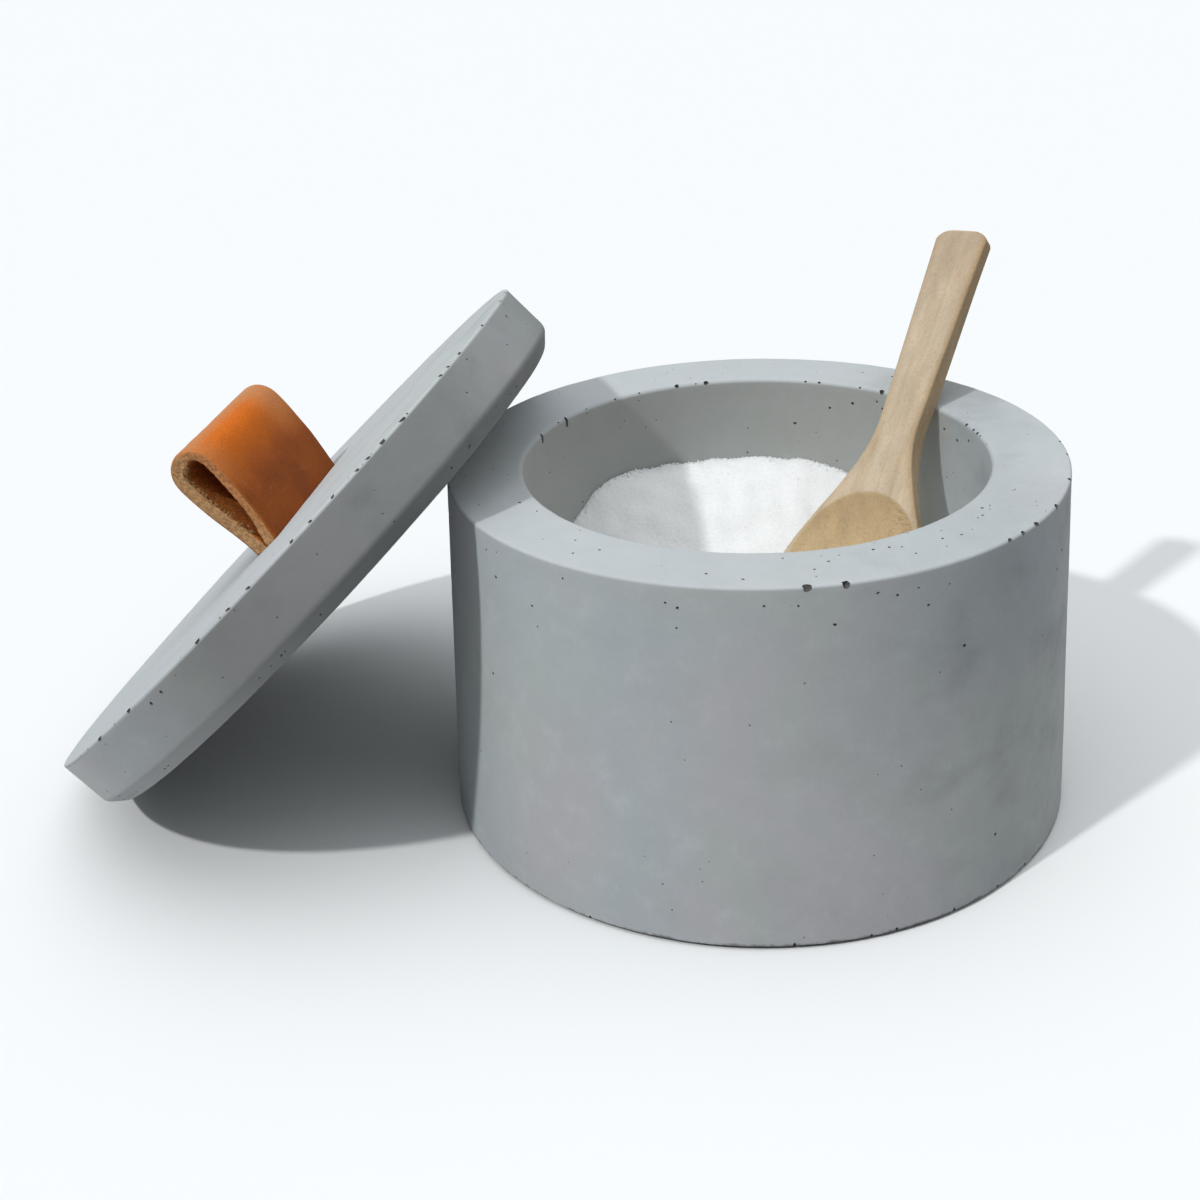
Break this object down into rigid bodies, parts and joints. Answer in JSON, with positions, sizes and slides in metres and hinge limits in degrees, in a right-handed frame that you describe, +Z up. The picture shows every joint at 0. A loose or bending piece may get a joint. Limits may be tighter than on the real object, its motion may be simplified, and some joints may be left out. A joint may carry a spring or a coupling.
{
  "type": "sugar bowl with spoon",
  "caption": "Thick-walled round concrete sugar bowl holding sugar, its disc lid with a folded leather pull leaning on the rim and a small wooden spoon standing in the sugar.",
  "frame": {"origin": "centre of the bowl's underside, on the surface it stands on", "axes": "+Z up along the bowl's axis; the lid leans on the rim on the -X side; the spoon's handle leans back towards +Y and +X"},
  "size_m": [0.2083, 0.133, 0.102],
  "materials": {
    "concrete": "matt cast concrete with pinholes",
    "leather": "smooth tan leather with raw cut edges",
    "wood": "bare sanded pale wood",
    "sugar": "loose white crystals"
  },
  "bodies": {
    "bowl": {"bowl": "concrete", "sugar": "sugar"},
    "lid": {"lid": "concrete", "lid_pull": "leather"},
    "spoon": {"spoon": "wood"}
  },
  "joints": [
    {"name": "lid_lift", "type": "slide", "parent": "bowl", "child": "lid", "axis": [-0.6947, 0, 0.7193], "range_m": [0, 0.12]},
    {"name": "spoon_lift", "type": "slide", "parent": "bowl", "child": "spoon", "axis": [0, 0, 1], "range_m": [0, 0.06]}
  ]
}
